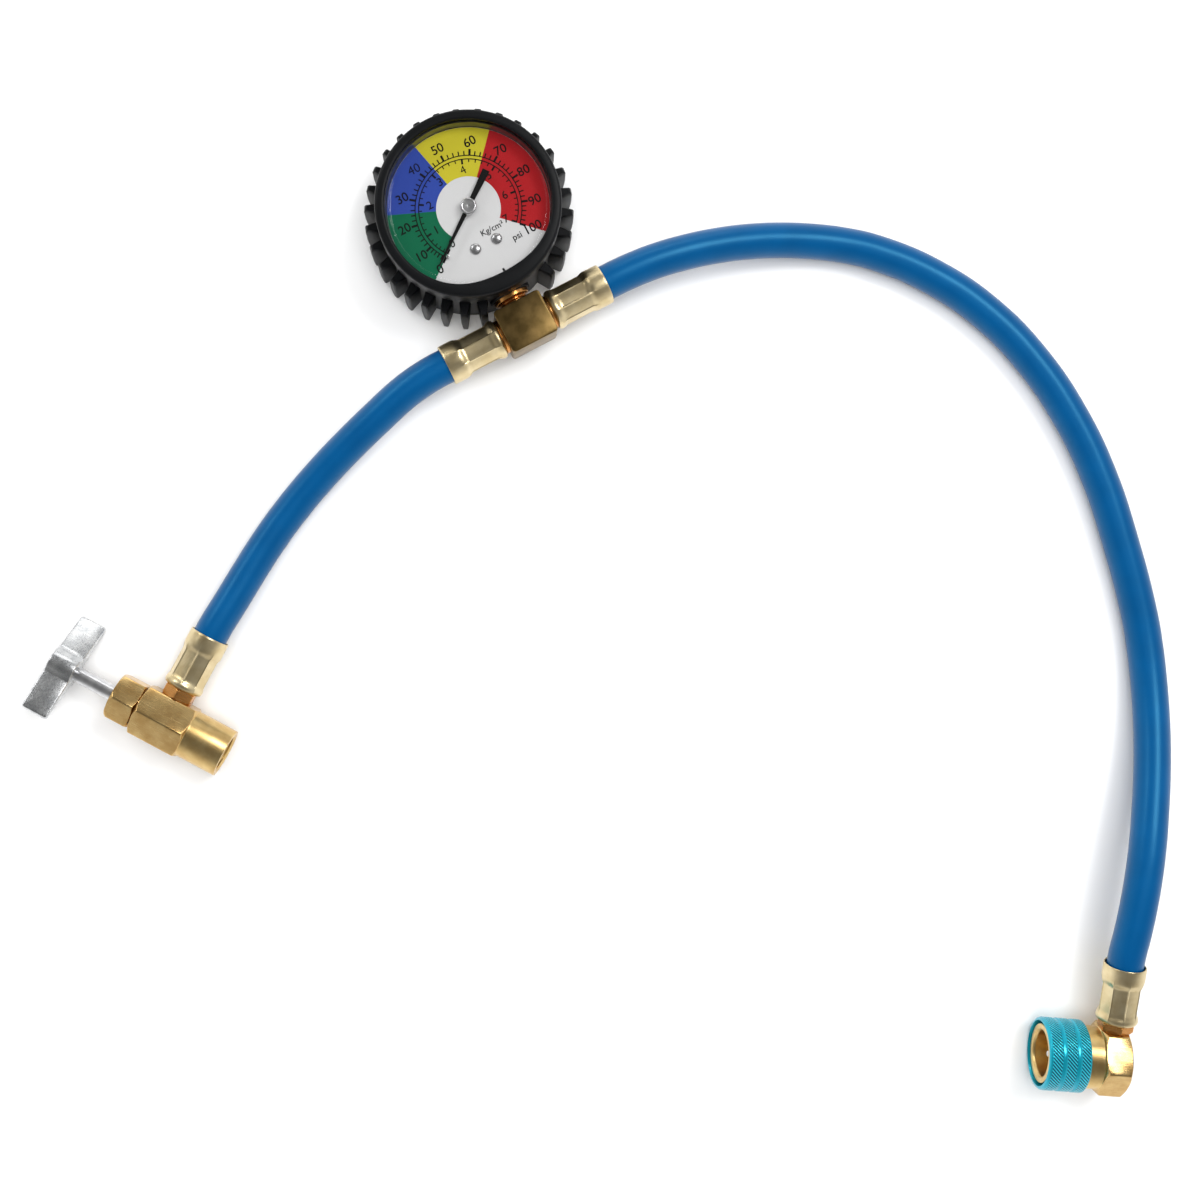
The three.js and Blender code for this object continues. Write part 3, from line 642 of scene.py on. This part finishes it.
# Tee block: sharp top and bottom edges, rounder upright ones.
tee = {
    "halfLength": 8.5,
    "halfDepth": 7.7,
    "halfHeight": 7.6,
    "uprightRound": 1.1,
    "edgeRound": 0.3,
}
y, z = tee["halfDepth"], tee["halfHeight"]
bm = pushed([(-y, -z), (y, -z), (y, z), (-y, z)], -tee["halfLength"], tee["halfLength"])
soften(bm, tee["uprightRound"], upright=True)
soften(bm, tee["edgeRound"], 40)
finished("teeBlock", bm, teeFrame, [brassDull], "hose_set", ["tee_block"])
print("handle and tee")


# Gauge boot: its wall, front ring and inner lip. The lip bulges over the dial by the stem.
boot = {
    "back": 29.6,
    "wall": 30.3,
    "ring": 30.9,
    "ringStart": 26.2,
    "top": 35,
    "lip": 27.6,
    "lipBack": 33.8,
    "inside": 28.6,
    "floor": 26,
    "bulge": 2.3,
    "bulgeDegrees": 34,
}


def bootOutline(angle):
    # Angle 0 points up the dial once the boot stands upright.
    fromStem = abs((math.degrees(angle) + 360) % 360 - 180)
    bulge = boot["bulge"] * math.exp(-((fromStem / boot["bulgeDegrees"]) ** 2))
    lip, ring, top, inside = boot["lip"] - bulge, boot["ring"], boot["top"], boot["inside"]
    wall = [(0, 0), (boot["back"], 0), (boot["wall"], 0.7), (boot["wall"], boot["ringStart"] - 1.2)]
    front = [(ring, boot["ringStart"]), (ring, top - 1.1), (ring - 0.15, top - 0.6)]
    front += [(ring - 0.5, top - 0.25), (ring - 1, top - 0.1), (28.6 - 0.7 * bulge, top)]
    inner = [(lip + 0.5, top - 0.05), (lip + 0.15, top - 0.25), (lip, top - 0.6)]
    inner += [(lip, boot["lipBack"]), (inside, boot["lipBack"] - 0.2), (inside, boot["floor"])]
    return [*wall, *front, *inner, (20, boot["floor"]), (0, boot["floor"])]


upright = Matrix.Rotation(-math.pi / 2, 4, "Y")
bm = turned(bootOutline, [fullTurn * i / 144 for i in range(144)])
bmesh.ops.transform(bm, matrix=upright, verts=bm.verts)

# Fins, where the photo shows them: each narrows towards the back. Its rows are the height, the
# width at its root and at its tip, and how far it reaches from the gauge's axis.
fins = {
    "root": 29.8,
    "rows": [
        (0, 2.9, 1.9, 35.3), (6, 3.2, 2.2, 35.5), (12, 3.6, 2.6, 35.5), (21, 4, 2.6, 35.3),
        (22.4, 3.7, 2.1, 34.9), (22.9, 3.4, 1.7, 34.3),
    ],
    "degrees": [
        -63.5, -51.5, -39.5, -27.5, -15.4, -3.3, 9.4, 21.7, 34.1, 45.4, 57.6, 69.8, 80.9, 93,
        104.5, 116.5, 127.8, 139, 150.2, 161.5, 172.8, 184.1, 195, 206, 217.1, 228.7, 240.1, 251.2,
    ],
}
for degrees in fins["degrees"]:
    turn = Matrix.Rotation(math.radians(degrees), 4, "Z")
    low = []
    for z, rootWidth, tipWidth, reach in fins["rows"]:
        outline = [(fins["root"], -rootWidth / 2), (reach - 0.35, -tipWidth / 2)]
        outline += [(reach, -tipWidth / 2 + 0.35)]
        outline += [(x, -y) for x, y in outline[::-1]]
        corners = [bm.verts.new(turn @ Vector((x, y, z))) for x, y in outline]
        high = [bm.edges.new(pair) for pair in zip(corners, corners[1:])]
        if low:
            bmesh.ops.bridge_loops(bm, edges=low + high)
        else:
            bm.faces.new(corners)
        low = high
    bm.faces.new(corners)
finished("gaugeBoot", bm, gaugeFrame, [bootRubber], "hose_set", ["gauge_boot"])


# Case, seen as a thin rim between the lip and the dial.
case = {"outer": 28.3, "inner": 27.4, "back": 26.2, "front": 31.7}
corners = [("outer", "back"), ("outer", "front"), ("inner", "front"), ("inner", "back")]
bm = turned([(case[radius], case[place]) for radius, place in corners])
bmesh.ops.transform(bm, matrix=upright, verts=bm.verts)
finished("gaugeCase", bm, gaugeFrame, [caseSteel], "hose_set", ["gauge_case"])

# Stem: a collar out of the boot, a groove, and a rounded ring against the tee.
stem = {
    "height": 17,
    "rounding": 0.15,
    "outline": [
        (0, 20), (6.2, 20), (6.2, 31.7), (5.9, 32.1), (4.8, 32.25), (4.7, 32.6), (5.1, 32.8),
        (5.5, 33.1), (5.65, 33.45), (5.5, 33.8), (5.1, 34), (4.5, 34.05), (4.5, 37), (0, 37),
    ],
    "hole": [(6.25, 29), (7.3, 29), (7.3, 30.6), (6.25, 30.6)],
}
stemFrame = gaugeFrame @ Matrix.Translation((0, 0, stem["height"]))
stemFrame = stemFrame @ Matrix.Rotation(-math.pi / 2, 4, "Z")
bm = turned(rounded(stem["outline"], stem["rounding"], 2))
finished("gaugeStem", bm, stemFrame, [brassRed], "hose_set", ["gauge_socket"])
# A black ring filling the gap round the stem: painted shade of the boot's hole.
bm = turned(rounded(stem["hole"], 0.3))
finished("bootHoleShadeRing", bm, stemFrame, [sealRubber], "hose_set")

# Lens: a thick rim with a step inside it, which draws fine bright lines round the dial.
lens = {
    "rounding": 0.2,
    "outline": [
        (0, 32.2), (25.2, 32.2), (25.6, 32), (28.4, 32), (28.4, 33.5), (26.1, 33.5), (25.7, 33.1),
        (0, 33.1),
    ],
}
bm = turned(rounded(lens["outline"], lens["rounding"]))
bmesh.ops.transform(bm, matrix=upright, verts=bm.verts)
finished("gaugeLens", bm, gaugeFrame, [lensClear], "hose_set", ["gauge_lens"])
print("gauge")


# Dial. Its angles are in the gauge's own turned frame, in degrees: one for every 10 psi.
dial = {
    "top": 27,
    "radius": 27.2,
    "whiteRadius": 10.8,
    "outerLine": 17.8,
    "innerLine": 16.6,
    "lineWidth": 0.36,
    "psiNumbers": 22.3,
    "kgNumbers": 12.9,
    "psiAngles": [217.7, 198, 170.5, 143.9, 116.8, 90.1, 61.5, 34, 7.2, -19.8, -43.8],
    "sectors": [(0, 25), (25, 45), (45, 65), (65, 100)],
}
printTop = dial["top"] + 0.03
kgPerPsi = 1 / 14.223


def psiAngle(value):
    low = min(int(value // 10), 9)
    start, end = dial["psiAngles"][low : low + 2]
    return start + (value / 10 - low) * (end - start)


def onDial(radius, degrees, z):
    angle = math.radians(degrees)
    return (radius * math.cos(angle), radius * math.sin(angle), z)


# A flat band of the dial between two radii and two angles.
def band(bm, inner, outer, start, end, z, material=0):
    steps = max(1, round(abs(end - start) / 1.5))
    for i in range(steps):
        a = start + (end - start) * i / steps
        b = start + (end - start) * (i + 1) / steps
        corners = [(inner, a), (outer, a), (outer, b), (inner, b)]
        verts = [bm.verts.new(onDial(radius, degrees, z)) for radius, degrees in corners]
        bm.faces.new(verts).material_index = material


# A tick of the dial: a thin bar along the radius.
def tick(bm, inner, outer, degrees, width):
    turn = Matrix.Rotation(math.radians(degrees), 4, "Z")
    corners = [(inner, -width / 2), (outer, -width / 2), (outer, width / 2), (inner, width / 2)]
    bm.faces.new([bm.verts.new(turn @ Vector((x, y, printTop + 0.02))) for x, y in corners])


edge, top = dial["radius"], dial["top"]
bm = turned([(0, top - 0.5), (edge, top - 0.5), (edge, top), (0, top)])
bmesh.ops.transform(bm, matrix=upright, verts=bm.verts)
finished("gaugeDial", bm, gaugeFrame, [dialWhite], "hose_set", ["gauge_dial"])

bm = bmesh.new()
for material, (start, end) in enumerate(dial["sectors"]):
    inner, outer = dial["whiteRadius"], dial["radius"] - 0.05
    band(bm, inner, outer, psiAngle(start), psiAngle(end), printTop - 0.01, material)
sectorPaints = [dialGreen, dialBlue, dialYellow, dialRed]
finished("dialSectors", bm, gaugeFrame, sectorPaints, "hose_set")

bm = bmesh.new()
halfLine = dial["lineWidth"] / 2
for radius in (dial["outerLine"], dial["innerLine"]):
    inner, outer = radius - halfLine, radius + halfLine
    band(bm, inner, outer, psiAngle(0), psiAngle(100), printTop + 0.02)
# Marks at every 2 psi, and at every 0.2 kg/cm² up to 7.
for value in range(0, 101, 2):
    isMajor = value % 10 == 0
    reach, width = (19.9, 0.75) if isMajor else (19.3, 0.42)
    tick(bm, dial["outerLine"], reach, psiAngle(value), width)
for i in range(36):
    isMajor = i % 5 == 0
    reach, width = (14.9, 0.66) if isMajor else (15.5, 0.36)
    tick(bm, reach, dial["innerLine"], psiAngle(i * 0.2 / kgPerPsi), width)
# A short mark at the dial's bottom edge.
band(bm, 22.9, 26, -88.4, -86.5, printTop + 0.02)


# Numerals and units: text made a mesh, and joined to the print. A 4 fills in when it is bold.
def letters(bm, words, size, x, y, bold=0):
    data = bpy.data.curves.new(words, "FONT")
    data.body = words
    data.size = size
    data.align_x = "CENTER"
    data.align_y = "CENTER"
    data.offset = 0 if "4" in words else bold
    data.resolution_u = 4
    maker = bpy.data.objects.new(words, data)
    scene.collection.objects.link(maker)
    bpy.context.view_layer.update()
    flat = bpy.data.meshes.new_from_object(
        maker.evaluated_get(bpy.context.evaluated_depsgraph_get())
    )
    start = len(bm.verts)
    bm.from_mesh(flat)
    bm.verts.ensure_lookup_table()
    move = Matrix.Translation((x, y, printTop + 0.02))
    bmesh.ops.transform(bm, matrix=move, verts=bm.verts[start:])
    bpy.data.objects.remove(maker)
    bpy.data.meshes.remove(flat)


for value in range(0, 101, 10):
    x, y, _ = onDial(dial["psiNumbers"], psiAngle(value), 0)
    letters(bm, str(value), 4.3, x, y, 0.05)
for value in range(8):
    x, y, _ = onDial(dial["kgNumbers"], psiAngle(value / kgPerPsi), 0)
    letters(bm, str(value), 3.9, x, y, 0.03)
letters(bm, "psi", 3.1, 10.2, -15.6, 0.03)
letters(bm, "Kg/cm²", 2.9, 3.9, -9.5, 0.03)
finished("dialPrint", bm, gaugeFrame, [printBlack], "hose_set")
print("dial")

# Pointer: a thin tip, a hub and a wide tail.
pointer = {
    "degrees": 216.5,
    "tail": 13.5,
    "tailHalf": 1.25,
    "tip": 22,
    "tipHalf": 0.2,
    "back": 29.3,
    "front": 29.9,
}
pointerTurn = gaugeFrame @ Matrix.Rotation(math.radians(pointer["degrees"]), 4, "Z")
outline = [(-pointer["tail"], -pointer["tailHalf"]), (-4, -0.85), (0, -0.8)]
outline += [(pointer["tip"] - 0.2, -pointer["tipHalf"]), (pointer["tip"], 0)]
outline += [(x, -y) for x, y in outline[3::-1]]
bm = pushed([(y, -x) for x, y in outline], pointer["back"], pointer["front"])
bmesh.ops.transform(bm, matrix=upright, verts=bm.verts)
finished("gaugePointer", bm, pointerTurn, [pointerBlack], "pointer", ["gauge_pointer"])

cap = {
    "rounding": 0.1,
    "outline": [
        (0, 19.5), (0.6, 19.5), (0.6, 30), (2.8, 30), (2.8, 30.5), (2.65, 30.85), (2.3, 31),
        (2.15, 30.85), (1.8, 30.8), (0.5, 30.84), (0.42, 30.7), (0, 30.7),
    ],
}
bm = turned(rounded(cap["outline"], cap["rounding"], 2), evenAngles[::2])
bmesh.ops.transform(bm, matrix=upright, verts=bm.verts)
finished("pointerCap", bm, gaugeFrame, [steelBright], "pointer", ["pointer_cap"])

# Dial screws: small domes.
screw = {
    "radius": 1.9,
    "back": 26.9,
    "rim": 27.3,
    "domeHeight": 0.8,
    "out": 13.7,
    "degrees": (-107.6, -74.4),
}
radius, back, rim, height = screw["radius"], screw["back"], screw["rim"], screw["domeHeight"]
domeAngles = (0, 0.25, 0.5, 0.8, 1.1, 1.4)
dome = [(radius * math.cos(angle), rim + height * math.sin(angle)) for angle in domeAngles]
for i, degrees in enumerate(screw["degrees"]):
    bm = turned([(0, back), (radius, back), *dome, (0, rim + height)], evenAngles[::3])
    bmesh.ops.transform(bm, matrix=upright, verts=bm.verts)
    place = gaugeFrame @ Matrix.Translation(onDial(screw["out"], degrees, 0))
    node = f"dial_screw_{i + 1}"
    finished(f"dialScrew{i + 1}", bm, place, [steelBright], "hose_set", [node])
print("pointer and screws")


# Elbow and coupler: place 0 on its axis is the port's axis.
elbow = {
    "flat": 11,
    "back": -3.8,
    "front": 5.1,
    "chamfer": 0.9,
    "neck": 10.55,
    "neckEnd": 13,
    "core": 9.9,
    "coreEnd": 23.9,
    "mouth": 8.2,
    "bore": 7.2,
}


def elbowOutline(angle):
    back = hexEnd(elbow["flat"], angle, elbow["back"], elbow["chamfer"], 1)
    front = hexEnd(elbow["flat"], angle, elbow["front"], elbow["chamfer"], -1)[::-1]
    neck = [(elbow["neck"], elbow["front"] + 0.2), (elbow["neck"], elbow["neckEnd"])]
    core = [(elbow["core"], elbow["neckEnd"]), (elbow["core"], elbow["coreEnd"])]
    core += [(elbow["mouth"], elbow["coreEnd"]), (elbow["mouth"] - 0.6, elbow["coreEnd"] - 0.9)]
    inside = [(elbow["bore"], 14), (5.5, 12.5), (0, 12)]
    return rounded([(0, elbow["back"]), *back, *front, *neck, *core, *inside], 0.25, 2)


stretches = len(elbowOutline(0)) - 1
elbowZones = [0 if j < drawnStretches else 1 for j in range(stretches)]
bm = turned(elbowOutline, hexAngles, elbowZones)
finished(
    "elbowBody", bm, elbowFrame, [brassDrawn, brassTurned], "hose_set", ["elbow_body"]
)

pin = {"radius": 1.1, "back": 2, "tip": 21.5, "tipRound": 0.4}
radius, tip, tipRound = pin["radius"], pin["tip"], pin["tipRound"]
rod = [(0, pin["back"]), (radius, pin["back"]), (radius, tip - tipRound)]
bm = turned(rounded([*rod, (radius - tipRound, tip), (0, tip)], 0.15), evenAngles[::4])
finished("depressorPin", bm, elbowFrame, [steelBright], "hose_set", ["depressor_pin"])


# Sleeve: a diagonal knurl in three bands, parted by two soft grooves.
sleeve = {"inner": 10.9, "start": 10.3, "grooves": (14.5, 19.4), "grooveRadius": 11.74}
sleeveOutline = [(sleeve["inner"], sleeve["start"]), (11.75, 10.3), (12.1, 10.65), (12.2, 10.9)]
for groove in sleeve["grooves"]:
    low = sleeve["grooveRadius"]
    sleeveOutline += [(sleeveRadius, groove - 0.8), (12.05, groove - 0.62), (low, groove - 0.35)]
    sleeveOutline += [(low, groove + 0.35), (12.05, groove + 0.62), (sleeveRadius, groove + 0.8)]
sleeveOutline += [(sleeveRadius, 23.5), (12.1, 23.85), (11.8, 24.25), (11.4, 24.45), (11, 24.5)]
sleeveOutline += [(sleeve["inner"], 24.3), (sleeve["inner"], sleeve["start"])]
knurledStretches = (3, 9, 15)
stretches = len(sleeveOutline) - 1
sleeveZones = [1 if j in knurledStretches else 0 for j in range(stretches)]
bm = turned(sleeveOutline, [fullTurn * i / 192 for i in range(192)], sleeveZones, sleeveRadius)
sleeveMetals = [anodised, knurled]
finished("couplerSleeve", bm, elbowFrame, sleeveMetals, "sleeve", ["coupler_sleeve"])
print("elbow and coupler")


# Floor: a wide pale sheet, not part of the object.
bm = bmesh.new()
bmesh.ops.create_grid(bm, x_segments=1, y_segments=1, size=3)
floorMesh = bpy.data.meshes.new("floor")
bm.to_mesh(floorMesh)
bm.free()
floor = bpy.data.objects.new("floor", floorMesh)
scene.collection.objects.link(floor)
floorPaper, tree, shader = newMaterial("paper, pale", Roughness=0.9)
shader.inputs["Base Color"].default_value = colour("f2f2f2")
floorMesh.materials.append(floorPaper)
floor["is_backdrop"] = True

# World: bright near the horizon and dark overhead, so that upturned metal has contrast.
world = bpy.data.worlds.new("studio")
scene.world = world
world.use_nodes = True
tree = world.node_tree
direction = addNode(tree, "TexCoord").outputs["Generated"]
height = addNode(tree, "SeparateXYZ", {"Vector": direction}).outputs["Z"]
sky = ramp(tree, height, [(0, 1.0), (0.35, 0.7), (0.6, 0.28), (0.85, 0.2), (1, 0.15)])
background = tree.nodes["Background"]
tree.links.new(sky, background.inputs["Color"])
background.inputs["Strength"].default_value = 1.0


# Softboxes, aimed at the middle of the hose.
def softbox(name, place, size, power, shines=True):
    data = bpy.data.lights.new(name, "AREA")
    data.shape = "RECTANGLE"
    data.size, data.size_y = size
    data.energy = power
    light = bpy.data.objects.new(name, data)
    scene.collection.objects.link(light)
    light.location = place
    light.visible_glossy = shines
    aim = Vector((0.04, -0.15, 0)) - Vector(place)
    light.rotation_euler = aim.to_track_quat("-Z", "Y").to_euler()


softboxes = {
    "key": {"place": (0.55, 0.3, 1.05), "size": (0.45, 0.3), "power": 6},
    "side": {"place": (-0.75, 0.6, 0.75), "size": (0.5, 0.25), "power": 2.5},
    "back": {"place": (0.07, 0.95, 0.46), "size": (0.5, 0.2), "power": 1.1},
    "overhead": {"place": (0.04, -0.15, 1.6), "size": (1.2, 1.2), "power": 22, "shines": False},
}
for name, values in softboxes.items():
    softbox(name, **values)
print("light")

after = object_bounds()
boxes = [[[round(value, 5) for value in corner] for corner in box] for box in (before, after)]
print("size", boxes)
